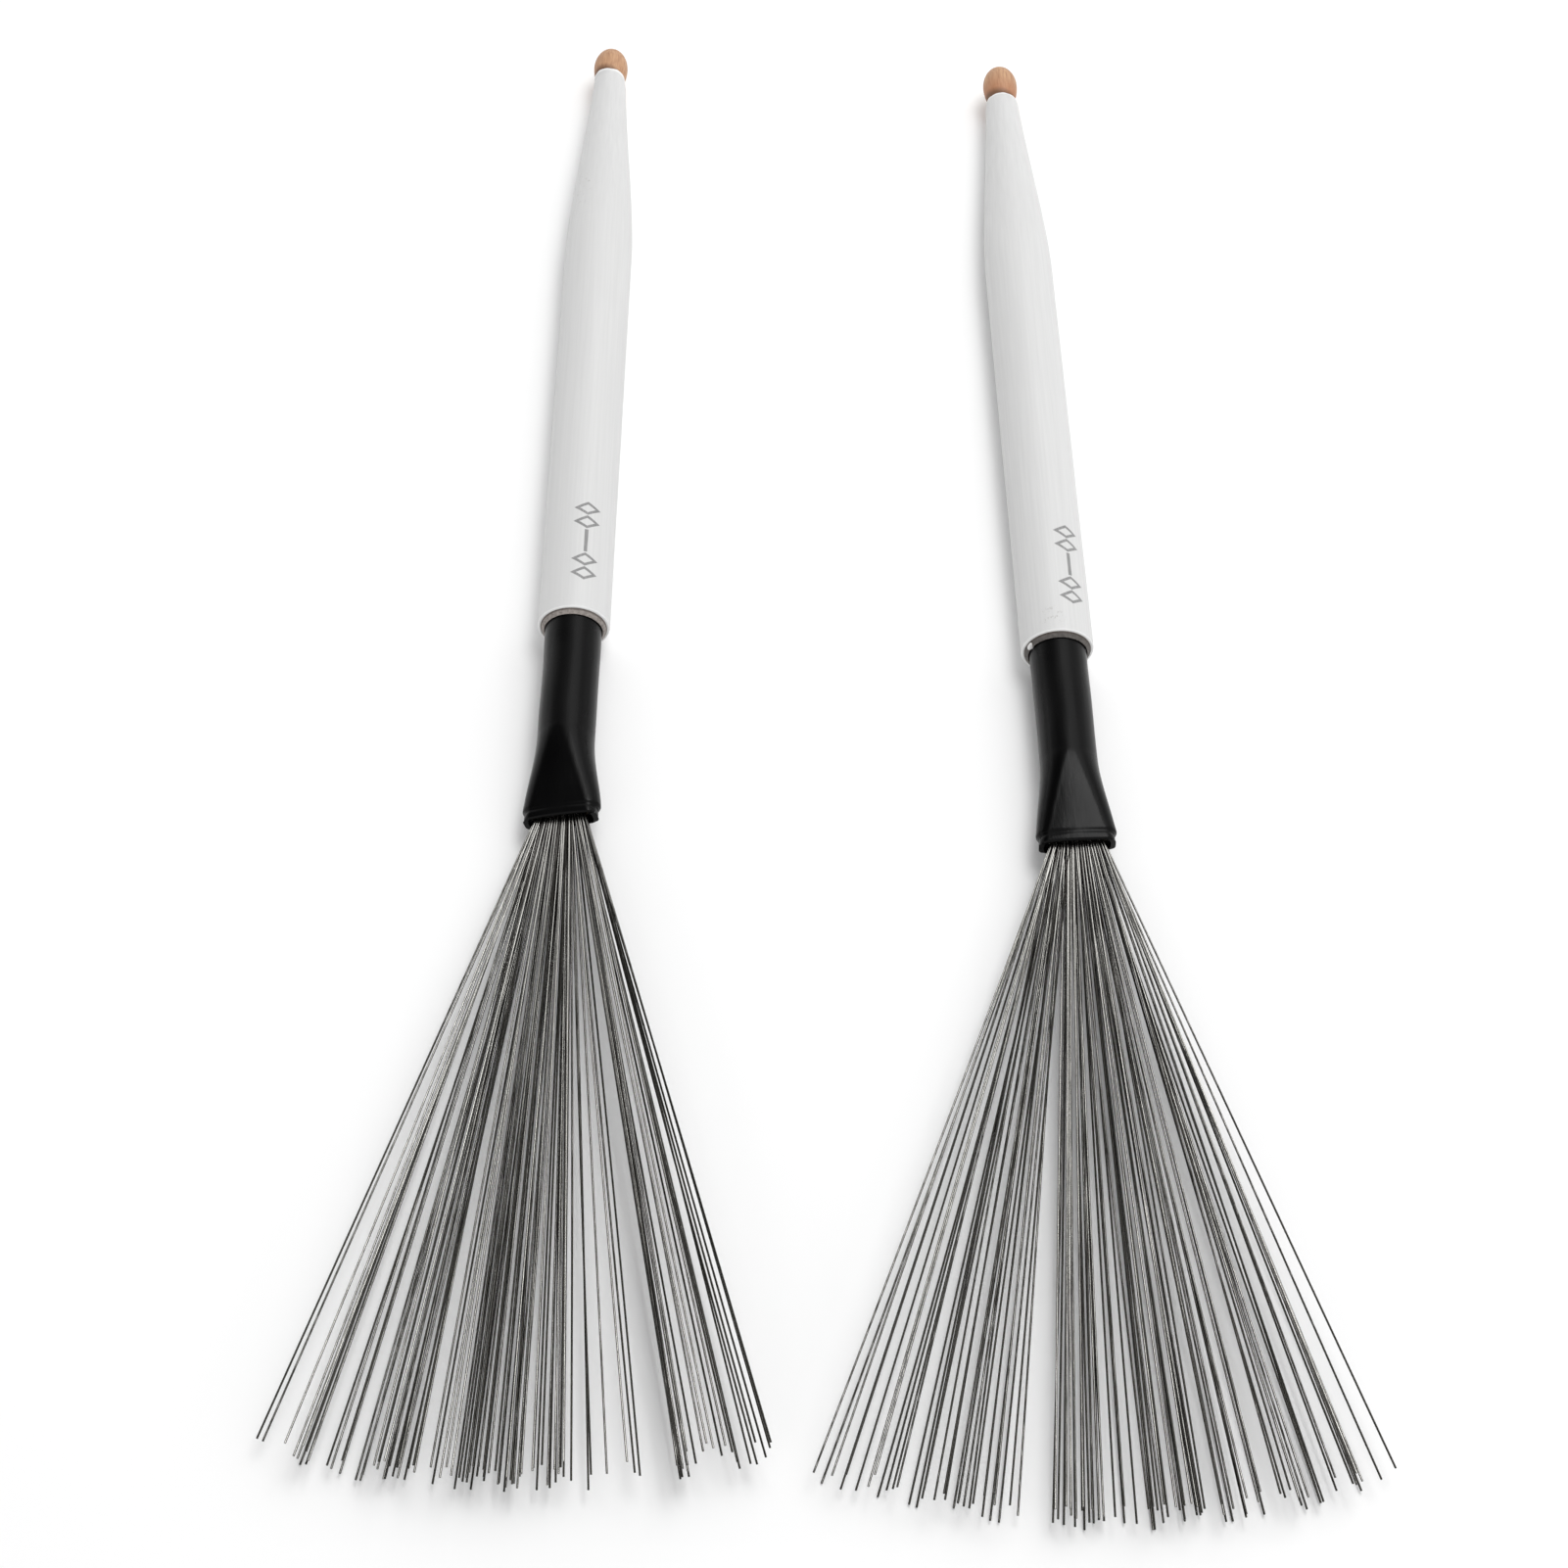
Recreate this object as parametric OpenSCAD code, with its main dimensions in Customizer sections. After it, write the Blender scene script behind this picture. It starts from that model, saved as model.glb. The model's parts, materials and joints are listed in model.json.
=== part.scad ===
// A pair of wire drum brushes lying side by side on a flat surface.
// Each brush is a turned wooden stick with a bare bead at its far end and a white lacquer coat.
// Its bored butt holds a steel tube under a black sleeve. The tube is pressed flat at its mouth,
// where it grips the roots of a fan of straight spring-steel wires in five layers.
// +Y runs from the wires to the beads, +Z is up, and both grips lie on z = 0.
// Lengths along a brush are counted from its butt: y towards the bead, s towards the wires.

/* [Stick] */
// Diameter of the lacquered grip
grip_d = 15; // [14:0.5:16]
// Length of the parallel part of the grip
grip_l = 105; // [90:1:110]
// Whole length of the stick, bead included
stick_l = 171; // [165:1:190]
// Diameter of the neck behind the bead
neck_d = 7.7; // [7:0.1:8]
// Largest diameter of the bead
bead_d = 8.4; // [8.2:0.1:9.5]
// Thickness of the lacquer coat
coat_t = 0.25; // [0.15:0.05:0.4]

/* [Sleeve and tube] */
// Outer diameter of the round part of the sleeve
sleeve_d = 11.8; // [11:0.1:12.2]
// Length of the sleeve outside the stick
sleeve_l = 48; // [40:1:60]
// Width of the flattened mouth
mouth_w = 16.4; // [15:0.1:18]
// Height of the flattened mouth
mouth_h = 5.3; // [5:0.1:6]
// Depth to which sleeve and tube are set into the stick
set_depth = 25; // [15:1:30]

/* [Wires] */
// Diameter of one wire
wire_d = 0.4; // [0.3:0.05:0.4]
// Free length of one wire
wire_l = 140; // [110:1:160]
// Number of wires in one layer
wires_per_layer = 21; // [15:1:21]

/* [Layout] */
// Distance between the two butts across the pair
butt_gap = 100; // [95:1:130]
// How far the left butt lies ahead of the right one
butt_step = 6; // [0:1:12]
// Turn of the left brush seen from above
left_yaw = -0.9; // [-3:0.1:0]
// Turn of the right brush seen from above
right_yaw = 1.9; // [0:0.1:4]
// Roll of the left brush about its own length
left_roll = -14; // [-16:1:0]
// Roll of the right brush about its own length
right_roll = -3; // [-5:1:5]

/* [Hidden] */
LAYERS = 5;
SIDES = ["left", "right"];
PIECES = ["stick", "white_coat", "glue_collar", "sleeve", "flattened_tube", "root_plug"];

grip_r = grip_d / 2;
neck_r = neck_d / 2;
bead_r = bead_d / 2;
sleeve_r = sleeve_d / 2;
wire_r = wire_d / 2;

// Stick: the white edge at the butt is rounded over by edge_in, and the bead starts in a fine crease.
edge_in = 0.4;
crease_l = 0.15;
crease_in = 0.1;
bead_front = 5.7;
bead_back = 4.8;
neck_y = stick_l - bead_front - bead_back;
bore_r = sleeve_r + 0.05;
bore_l = set_depth + 2;

// Grip-to-neck taper: one Bezier curve, level at the grip and nearly level at the neck.
taper_l = neck_y - grip_l;
taper_steps = 12;
taper = [
    [grip_r, grip_l],
    [grip_r, grip_l + 0.27 * taper_l],
    [neck_r + 0.85, neck_y - 0.33 * taper_l],
    [neck_r, neck_y - crease_l]
];

// Sleeve and tube: walls, the clearance between the two, and where the flare of the mouth starts.
sleeve_t = 0.7;
tube_t = 0.5;
slip = 0.05;
tube_in = 2;
flare_s = 28;
plug_s = 30;
mouth_power = 5;
ring_points = 36;
flare_rings = 9;

// Wires: pitch of their roots in the mouth, where they start, the angle between layers,
// how unevenly the wires end, and how much shorter the stray wires are.
root_pitch_x = 0.52;
root_pitch_z = 0.42;
root_s = sleeve_l - tube_in + 0.5;
layer_rise = 0.8;
end_spread = 1.5;
stray_trim = 2;

// One brush: [butt x, butt y, yaw, roll, roll of the fan at its tips, half angle of the fan,
// skew of the fan, droop of the fan, stray wires as [root x, root z, angle from the brush's length]].
LEFT = [-butt_gap / 2, butt_step / 2, left_yaw, left_roll, -2, 15.9, 1, 0,
    [[-5.8, 0.28, -17.3], [-5.8, -0.28, -16.9]]];
RIGHT = [butt_gap / 2, -butt_step / 2, right_yaw, right_roll, 0, 18.3, -3.2, 0.9,
    [[5.8, 0, 16.9]]];

function smooth(t) = let (c = max(0, min(1, t))) c * c * (3 - 2 * c);
function bezier(p, t) =
    pow(1 - t, 3) * p[0] + 3 * pow(1 - t, 2) * t * p[1] + 3 * (1 - t) * t * t * p[2] + pow(t, 3) * p[3];
function yawed(p, a) = [p.x * cos(a) - p.y * sin(a), p.x * sin(a) + p.y * cos(a), p.z];
function rolled(p, a) = [p.x * cos(a) + p.z * sin(a), p.y, p.z * cos(a) - p.x * sin(a)];

// A point given along a brush, in the frame of the pair before it is centred
function on_brush(brush, p) = yawed(p, brush[2]) + [brush[0], brush[1], grip_r];

// A wire is its root and its direction in the brush's own frame, and its length
function wire(brush, root_x, root_z, angle, rise, trim) = [
    rolled([root_x, -root_s, root_z], brush[3]),
    rolled([sin(angle) * cos(rise), -cos(angle) * cos(rise), sin(rise)], brush[4]),
    wire_l - trim
];
function layer_wires(brush, layer) = [
    for (i = [0:wires_per_layer - 1])
        let (
            across = (i + 0.5 * (layer % 2)) / (wires_per_layer - 0.5) * 2 - 1,
            height = layer - (LAYERS + 1) / 2,
            half_row = root_pitch_x * (wires_per_layer - 0.5) / 2,
            trim = end_spread * pow(sin(97 * i + 61 * layer), 2)
        )
        wire(brush, across * half_row, height * root_pitch_z,
            brush[6] + across * brush[5], height * layer_rise - brush[7], trim)
];
function stray_wires(brush) = [
    for (s = brush[8]) wire(brush, s.x, s.y, s.z, -brush[7], stray_trim)
];
function all_wires(brush) = [
    for (layer = [1:LAYERS]) each layer_wires(brush, layer),
    each stray_wires(brush)
];
function tips(brush) = [
    for (w = all_wires(brush)) on_brush(brush, w[0] + w[1] * w[2])
];

// The pair is centred on its bounding box, which the wire tips and the bead ends set.
all_tips = concat(tips(LEFT), tips(RIGHT));
bead_ends = [for (brush = [LEFT, RIGHT]) on_brush(brush, [0, stick_l, 0])];
tip_xs = [for (p = all_tips) p.x];
centre = [
    (min(tip_xs) + max(tip_xs)) / 2,
    (min([for (p = all_tips) p.y]) + max([for (p = bead_ends) p.y])) / 2,
    0
];

// Half width and half height of the sleeve at distance s, and the power of its superellipse
function flare(s) = smooth((s - flare_s) / (sleeve_l - flare_s));
function half_w(s) = sleeve_r + (mouth_w / 2 - sleeve_r) * flare(s);
function half_h(s) = sleeve_r + (mouth_h / 2 - sleeve_r) * flare(s);
function powered(v, p) = sign(v) * pow(abs(v), 2 / p);
function ring(s, inset) =
    let (power = 2 + (mouth_power - 2) * flare(s))
    [
        for (i = [0:ring_points - 1])
            let (a = 360 * i / ring_points)
            [(half_w(s) - inset) * powered(cos(a), power), -s, (half_h(s) - inset) * powered(sin(a), power)]
    ];
function stations(first, last) = concat(
    first < flare_s ? [first] : [],
    [
        for (k = [0:flare_rings])
            let (start = max(first, flare_s))
            start + (last - start) * k / flare_rings
    ]
);
function band(rings, first, flip) = [
    for (r = [0:rings - 2])
        for (i = [0:ring_points - 1])
            let (
                a = first + r * ring_points + i,
                b = first + r * ring_points + (i + 1) % ring_points,
                c = b + ring_points,
                d = a + ring_points
            )
            flip ? [d, c, b, a] : [a, b, c, d]
];
function rim(outer, inner, flip) = [
    for (i = [0:ring_points - 1])
        let (j = (i + 1) % ring_points)
        flip ? [outer + j, outer + i, inner + i, inner + j] : [outer + i, outer + j, inner + j, inner + i]
];

// A hollow lofted tube from one distance to another, with an even wall
module lofted_tube(first, last, inset, wall) {
    at = stations(first, last);
    count = len(at) * ring_points;
    polyhedron(
        concat([for (s = at) each ring(s, inset)], [for (s = at) each ring(s, inset + wall)]),
        concat(
            band(len(at), 0, false),
            band(len(at), count, true),
            rim(0, count, true),
            rim(count - ring_points, 2 * count - ring_points, false)
        )
    );
}

// A solid loft from one distance to another
module lofted_bar(first, last, inset) {
    at = stations(first, last);
    count = len(at) * ring_points;
    polyhedron(
        [for (s = at) each ring(s, inset)],
        concat(
            band(len(at), 0, false),
            [[for (i = [ring_points - 1:-1:0]) i]],
            [[for (i = [0:ring_points - 1]) count - ring_points + i]]
        )
    );
}

// A turned piece: its outline is a list of [radius, y]
module turned(outline) {
    rotate([-90, 0, 0])
        rotate_extrude($fn = 96)
            polygon(outline);
}

module placed(brush) {
    translate(on_brush(brush, [0, 0, 0]) - centre)
        rotate([0, 0, brush[2]])
            children();
}

module rolled_in_place(brush) {
    placed(brush)
        rotate([0, brush[3], 0])
            children();
}

// Outline of the stick's side, inset from the lacquer's outside
function side_outline(inset) = concat(
    [[grip_r - edge_in - inset, 0], [grip_r - inset, edge_in]],
    [
        for (k = [0:taper_steps])
            let (p = bezier(taper, k / taper_steps))
            [p.x - inset, p.y]
    ]
);
function reversed(list) = [for (i = [len(list) - 1:-1:0]) list[i]];

module stick(brush) {
    root_angle = acos((neck_r - crease_in) / bead_r);
    back_axis = bead_back / sin(root_angle);
    bead_y = stick_l - bead_front;
    bead_back_arc = [
        for (k = [0:3])
            let (a = root_angle * (1 - k / 3))
            [bead_r * cos(a), bead_y - back_axis * sin(a)]
    ];
    bead_front_arc = [
        for (a = [10:10:90])
            [a == 90 ? 0 : bead_r * cos(a), bead_y + bead_front * sin(a)]
    ];
    color("burlywood")
        rolled_in_place(brush)
            turned(concat(
                [[bore_r, 0]],
                side_outline(coat_t),
                [[neck_r - coat_t, neck_y]],
                bead_back_arc,
                bead_front_arc,
                [[0, bore_l], [bore_r, bore_l]]
            ));
}

module white_coat(brush) {
    color("whitesmoke")
        rolled_in_place(brush)
            turned(concat(side_outline(0), reversed(side_outline(coat_t))));
}

// Adhesive that has squeezed out around the sleeve and set as a low cone on the butt
module glue_collar(brush) {
    collar_r = grip_r - edge_in - coat_t - 0.1;
    collar_h = 1;
    collar_top_r = sleeve_r + 0.25;
    color("dimgray")
        rolled_in_place(brush)
            turned([[bore_r, 0], [collar_r, 0], [collar_r, -0.2], [collar_top_r, -collar_h], [bore_r, -collar_h]]);
}

module sleeve(brush) {
    color([0.1, 0.1, 0.1])
        rolled_in_place(brush)
            lofted_tube(-set_depth, sleeve_l, 0, sleeve_t);
}

module flattened_tube(brush) {
    color("silver")
        rolled_in_place(brush)
            lofted_tube(-set_depth, sleeve_l - tube_in, sleeve_t + slip, tube_t);
}

// Wire roots set in resin, which fills the flattened part of the tube
module root_plug(brush) {
    color("goldenrod")
        rolled_in_place(brush)
            lofted_bar(plug_s, sleeve_l - tube_in, sleeve_t + tube_t + 2 * slip);
}

module wires(brush, list) {
    color("gray")
        placed(brush)
            for (w = list)
                translate(w[0])
                    rotate([0, acos(w[1].z), atan2(w[1].y, w[1].x)])
                        cylinder(h = w[2], r = wire_r, $fn = 16);
}

module piece(name, brush) {
    if (name == "stick") stick(brush);
    if (name == "white_coat") white_coat(brush);
    if (name == "glue_collar") glue_collar(brush);
    if (name == "sleeve") sleeve(brush);
    if (name == "flattened_tube") flattened_tube(brush);
    if (name == "root_plug") root_plug(brush);
}

for (side = SIDES) {
    brush = side == "left" ? LEFT : RIGHT;
    for (name = PIECES)
        piece(name, brush);
    for (layer = [1:LAYERS])
        wires(brush, layer_wires(brush, layer));
}
wires(LEFT, stray_wires(LEFT));  // left_stray_wires
wires(RIGHT, stray_wires(RIGHT));  // right_stray_wire
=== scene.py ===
"""The looks of a pair of wire drum brushes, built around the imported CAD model.

Lengths here are in millimetres, in each brush's own frame: x across the flat of its mouth,
y along the brush towards the bead and z up from the flat, with the origin at the middle of the butt.
A distance s counts from the butt towards the wires, so y = -s.
"""

import json
import math

import bmesh
import bpy
import numpy as np
from mathutils import Matrix, Vector, noise


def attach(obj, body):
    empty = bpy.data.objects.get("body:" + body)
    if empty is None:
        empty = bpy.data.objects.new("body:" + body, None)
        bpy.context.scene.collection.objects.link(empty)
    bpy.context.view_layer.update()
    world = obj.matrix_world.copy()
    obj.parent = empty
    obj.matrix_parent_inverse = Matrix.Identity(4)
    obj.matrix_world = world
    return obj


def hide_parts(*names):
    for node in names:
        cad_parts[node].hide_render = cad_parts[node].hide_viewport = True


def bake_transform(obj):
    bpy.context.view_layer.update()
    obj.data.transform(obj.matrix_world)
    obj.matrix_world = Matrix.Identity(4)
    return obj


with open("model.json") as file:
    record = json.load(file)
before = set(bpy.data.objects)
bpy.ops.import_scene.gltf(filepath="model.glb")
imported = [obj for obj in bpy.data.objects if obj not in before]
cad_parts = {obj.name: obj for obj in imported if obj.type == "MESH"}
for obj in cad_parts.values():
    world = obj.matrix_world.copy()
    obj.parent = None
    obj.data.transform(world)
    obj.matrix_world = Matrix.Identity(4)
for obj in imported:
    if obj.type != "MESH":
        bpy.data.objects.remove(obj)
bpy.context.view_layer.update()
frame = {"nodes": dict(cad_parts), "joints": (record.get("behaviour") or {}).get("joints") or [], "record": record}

MM = 0.001
SIDES = ("left", "right")
SEED = {"left": 11, "right": 29}

# In these names R is a radius, L a length, T a thickness, Y a place along the brush and S a distance s

# Stick
GRIP_R = 7.5
GRIP_L = 105
STICK_L = 171
NECK_R = 3.72
NECK_Y = 160.5
BEAD_R = 3.95
BEAD_FRONT = 5.7
COAT_T = 0.25
RIM_R = 0.4
BORE_R = 5.95
BORE_L = 27
BEAD_POINT = 1.06
PAINT_END = NECK_Y - 0.1
PAINT_NECK_IN = 0.27
NECK_IN_L = 2.2
LIP_IN = 0.4
LIP_L = 0.55
PAINT_TILT = {"left": 0.85, "right": 0.0}
WOOD_START = 0.12
WOOD_UNDER_PAINT_END = PAINT_END - 1.2

# The two middle corners of the taper's curve: how far along they lie, as shares of its length,
# and how far out the second one is
SHOULDER_PULL = 0.27
NECK_PULL = 0.33
NECK_PULL_OUT = 0.85

# The mark on each grip: distances along the brush and round it
MARK_ROUND = 3.9
LOZENGES_Y = (8.9, 12.5, 22.4, 26.0)
LOZENGE_HALF_L = 1.75
LOZENGE_HALF_W = 2.9
LOZENGE_LINE = 0.42
DASH_Y = 17.45
DASH_HALF_L = 3.0
DASH_HALF_W = 0.44

# Sleeve
SLEEVE_R = 5.9
SLEEVE_L = 48
SET_DEPTH = 25
SLEEVE_T = 0.7
FLARE_S = 28
MOUTH_HALF_W = 8.2
MOUTH_HALF_H = 2.3
FACET_HALF_W = 5.9
CROWN = 0.28
WEDGE_START = 0.15
CORNER_IN = 1.3
LIP_S = 46.1
LIP_NARROWER = 0.6
LIP_STEP_L = 0.5
LIP_ROUND = 0.42
GROOVE_DEEP = 0.17
GROOVE_HALF_L = 0.45
INNER_HALF_H = 2.65
INNER_POWER = 5
AROUND = 128
COLLAR_AROUND = 192

# Wires
PIVOT_S = 46.1
ROOT_S = 46.0
WIRE_R = 0.2
WIRE_SIDES = 10
WIRE_L = 140.5
LAYERS = 5
PER_LAYER = 21
ROOT_PITCH_X = 0.46
ROOT_PITCH_Z = 0.42
LAYER_RISE = 0.8
RISE_SCATTER = 0.12
SHUFFLE = 3.0
TIP_ROOM = 0.2
TRIM_WAVE = 0.5
TRIM_SCATTER = 1.3
TABLE_GAP = 0.3
WIRE_BEND = 0.16
STRAY_BEND = 0.03
STRAY_SHORTER = 2.5

# A wire's tone is the brightest less a random amount. Lower layers are darker, as painted shade under the layers
# above, and strays are darker.
BRIGHTEST = 0.3
TONE_SPREAD = 0.37
LAYER_SHADE_STEP = 0.06
STRAY_LIFT = -0.3

# Where the tips of each fan's wires bunch together, seen from the pivot:
# the first and the last direction in degrees, and how many wires
TUFTS = {
    "left": [
        (-17, -15.5, 6), (-15.5, -14, 4), (-13.5, -11, 5), (-10.5, -8.5, 12), (-8, -6.5, 4),
        (-6, -5, 2), (-5, -3, 10), (-3, -0.5, 13), (-0.5, 2, 9), (2, 4, 9),
        (5, 5.5, 2), (6.5, 7, 1), (8, 9, 3), (11.5, 12.5, 10), (13, 14, 3),
        (14.5, 16, 5), (16, 17.5, 3), (17.5, 18.5, 4),
    ],
    "right": [
        (-24, -23.5, 2), (-22.5, -20.5, 4), (-20, -18.5, 4), (-18.5, -15, 7), (-14.5, -12.5, 7),
        (-12.5, -11.5, 2), (-11.5, -9, 6), (-6.5, -4.5, 10), (-4.5, -2.5, 9), (-2, 1, 8),
        (1, 3, 7), (3, 4.5, 8), (4.5, 5.5, 2), (5.5, 7.5, 6), (7.5, 8.5, 3),
        (9, 10.5, 3), (10.5, 12, 5), (12, 13, 2), (13, 14, 3), (14.5, 16, 5),
        (16.5, 17.5, 2),
    ],
}
# Each stray wire: its root's x and z, and the direction of its tip in degrees
STRAYS = {"left": [(-5.0, 0.28, -19.8), (-5.0, -0.28, -19.4)], "right": [(5.0, 0, 19.0)]}
STRAY_NODE = {"left": "left_stray_wires", "right": "right_stray_wire"}
# How far each whole fan is rolled, and how far it droops, in degrees
FAN_ROLL = {"left": -2, "right": 0}
FAN_DROOP = {"left": 0, "right": 0.9}

# Colours, in linear light
TAN = (0.46, 0.262, 0.15)
WARM_TAN = (0.53, 0.315, 0.175)
FIBRE_BROWN = (0.36, 0.185, 0.1)
PORE_BROWN = (0.25, 0.12, 0.06)
# the red and the dark brown of the painted shade behind each bead
SHADE_RED = (0.39, 0.168, 0.085)
CREASE_SHADE_BROWN = (0.16, 0.078, 0.04)
LACQUER_WHITE = (0.617, 0.617, 0.614)
LACQUER_GRAIN = (0.58, 0.58, 0.578)
LACQUER_CLOUD = (0.59, 0.59, 0.588)
LACQUER_WORN = (0.42, 0.41, 0.40)
# the whiter colour of the painted highlight on the paint's two ends
LACQUER_HIGHLIGHT = (0.85, 0.85, 0.845)
INK = (0.2, 0.2, 0.2)
# each side's adhesive: the right collar's colours are darker than the left's, as painted shade on the same glue
ADHESIVE_LIGHT = {"left": (0.34, 0.305, 0.28), "right": (0.115, 0.104, 0.096)}
ADHESIVE_DARK = {"left": (0.15, 0.13, 0.12), "right": (0.05, 0.044, 0.04)}
# the dark of the painted shade in the gap round the collar's outer edge
ADHESIVE_EDGE_SHADE = (0.05, 0.035, 0.028)
# the glue drop's near-white colours are partly a painted glint
GLUE_LIGHT = (0.9, 0.9, 0.89)
GLUE_DARK = (0.7, 0.69, 0.68)
SLEEVE_BLACK = (0.0007, 0.0007, 0.0008)
SLEEVE_WORN = (0.0016, 0.0016, 0.0017)
TUBE_DARK = (0.42, 0.42, 0.41)
TUBE_LIGHT = (0.55, 0.55, 0.54)
RESIN_LIGHT = (0.10, 0.068, 0.036)
RESIN_DARK = (0.045, 0.032, 0.02)
WIRE_DARK = (0.034, 0.0325, 0.029)
WIRE_BRIGHT = (0.88, 0.865, 0.82)
# the dark of the painted shade on each wire's flanks
WIRE_FLANK_SHADE = (0.026, 0.025, 0.022)
WHITE = (1, 1, 1, 1)
FLOOR_WHITE = (0.9, 0.9, 0.9, 1)

# How red the painted shade on the back of each bead is, and how bright each fan's wires are at
# their tips, from the middle on, and how much more at their roots
BEAD_SHADE_REDNESS = {"left": 0.15, "right": 0.85}
TIP_TONE = {"left": 0.1, "right": 0.04}
MIDDLE_TONE = {"left": 0.42, "right": 0.37}
ROOT_TONE = {"left": 0.06, "right": 0.19}

# Light and camera
WORLD_STRENGTH = 0.86
LEFT_BOOST = 1.3
# the dark opening's direction, and the cosines of the angles from it where it begins and is darkest
DARK_SIDE = (-0.6, 0.2, 0.775)
DARK_EDGE = 0.76
DARK_MIDDLE = 0.94
DARK_LEVEL = 0.08
WALL_FOOT_LEVEL = 1.02
FLOOR_HALF = 6.0
# the floor's glow rises between two distances in metres
GLOW_FROM = 0.35
GLOW_TO = 1.6
GLOW_LEAST = 0.02
GLOW_MOST = 0.4
# each softbox's name, place and size in metres, and power in watts
SOFTBOXES = [
    ("softbox", (0.22, 0.18, 1.0), (0.5, 0.4), 4.5),
    ("far_softbox", (0.45, 0.64, 0.9), (0.85, 0.45), 1.5),
]
CAMERA_FROM_BUTTS = (-6.4, -387.8, 520.3)
CAMERA_TILT = 34.06
CAMERA_LENS = 71.96
CAMERA_SENSOR = 36


# ---------------------------------------------------------------- frames and meshes

def named(items, name):
    """The item of a list in the frame that has this name."""
    return next(item for item in items if item["name"] == name)


def brush_frame(side):
    """The brush's own frame as a matrix from its millimetres to the scene's metres."""
    joint = named(frame["joints"], side + "_wire_flex")
    long = Vector(named(frame["record"]["mounts"], side + "_grip")["axis"]).normalized()
    wide = -Vector(joint["axis"]).normalized()
    up = wide.cross(long)
    butt = Vector(joint["pos_m"]) + long * PIVOT_S * MM
    turned = Matrix((wide, long, up)).transposed().to_4x4()
    return Matrix.Translation(butt) @ turned @ Matrix.Scale(MM, 4)


PLACE = {side: brush_frame(side) for side in SIDES}


def smooth(t):
    """An S-shaped run from 0 to 1, held at both ends."""
    t = np.clip(t, 0, 1)
    return t * t * (3 - 2 * t)


def skin(rings, loop=False):
    """Points and faces that join rings of points in turn. A ring of one point closes an end."""
    starts = np.cumsum([0] + [len(r) for r in rings])
    faces = []
    pairs = list(zip(range(len(rings) - 1), range(1, len(rings))))
    if loop:
        pairs.append((len(rings) - 1, 0))
    for a, b in pairs:
        count_a, count_b = len(rings[a]), len(rings[b])
        for i in range(max(count_a, count_b)):
            j = (i + 1) % max(count_a, count_b)
            corners = [starts[a] + i % count_a, starts[a] + j % count_a]
            corners += [starts[b] + j % count_b, starts[b] + i % count_b]
            faces.append(list(dict.fromkeys(int(c) for c in corners)))
    return np.concatenate(rings), faces


def revolve(outline, around=AROUND):
    """Rings of points round the brush's length, from an outline of (radius, y)."""
    angles = np.linspace(0, 2 * np.pi, around, endpoint=False)
    rings = []
    for radius, y in outline:
        if radius == 0:
            rings.append(np.array([[0.0, y, 0.0]]))
        else:
            along = np.full(around, float(y))
            rings.append(np.stack([radius * np.sin(angles), along, radius * np.cos(angles)], 1))
    return rings


def make_piece(name, side, points, faces, material, sharp=40, extra=None):
    """A mesh from points in the brush's frame, which stay with it as the attribute place_mm."""
    mesh = bpy.data.meshes.new(name)
    matrix = np.array(PLACE[side])
    world = points @ matrix[:3, :3].T + matrix[:3, 3]
    mesh.from_pydata(world.tolist(), [], faces)
    work = bmesh.new()
    work.from_mesh(mesh)
    bmesh.ops.recalc_face_normals(work, faces=work.faces)
    work.to_mesh(mesh)
    work.free()
    place = mesh.attributes.new("place_mm", "FLOAT_VECTOR", "POINT")
    place.data.foreach_set("vector", points.astype(np.float32).ravel())
    for key, values in (extra or {}).items():
        attribute = mesh.attributes.new(key, "FLOAT", "POINT")
        attribute.data.foreach_set("value", values.astype(np.float32))
    mesh.polygons.foreach_set("use_smooth", [True] * len(mesh.polygons))
    mesh.set_sharp_from_angle(angle=math.radians(sharp))
    mesh.materials.append(material)
    piece = bpy.data.objects.new(name, mesh)
    bpy.context.scene.collection.objects.link(piece)
    return piece


def evenly(loop, count):
    """count points spaced evenly along a closed loop of points."""
    closed = np.concatenate([loop, loop[:1]])
    run = np.concatenate([[0], np.cumsum(np.linalg.norm(np.diff(closed, axis=0), axis=1))])
    at = np.linspace(0, run[-1], count, endpoint=False)
    return np.stack([np.interp(at, run, closed[:, k]) for k in range(closed.shape[1])], 1)


# ---------------------------------------------------------------- material nodes

def add_node(tree, kind, inputs=None, **settings):
    """A node with its settings, and its inputs linked to a socket or set to a value."""
    node = tree.nodes.new(kind)
    for key, value in settings.items():
        setattr(node, key, value)
    for key, value in (inputs or {}).items():
        if isinstance(value, bpy.types.NodeSocket):
            tree.links.new(value, node.inputs[key])
        else:
            node.inputs[key].default_value = value
    return node


def calc(tree, operation, *values):
    """One sum on numbers and sockets."""
    return add_node(tree, "ShaderNodeMath", dict(enumerate(values)), operation=operation).outputs[0]


def between(tree, value, low, high, out_low=0.0, out_high=1.0):
    """Maps value from low..high to out_low..out_high, held at both ends."""
    inputs = {"Value": value, "From Min": low, "From Max": high, "To Min": out_low, "To Max": out_high}
    return add_node(tree, "ShaderNodeMapRange", inputs).outputs["Result"]


def blend_colours(tree, share, first, second):
    """The first colour at share 0 and the second at 1. The Mix node's colour sockets are 6 and 7."""
    node = add_node(tree, "ShaderNodeMix", data_type="RGBA")
    for key, value in ((0, share), (6, first), (7, second)):
        if isinstance(value, bpy.types.NodeSocket):
            tree.links.new(value, node.inputs[key])
        else:
            node.inputs[key].default_value = (*value, 1) if key else value
    return node.outputs[2]


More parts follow.
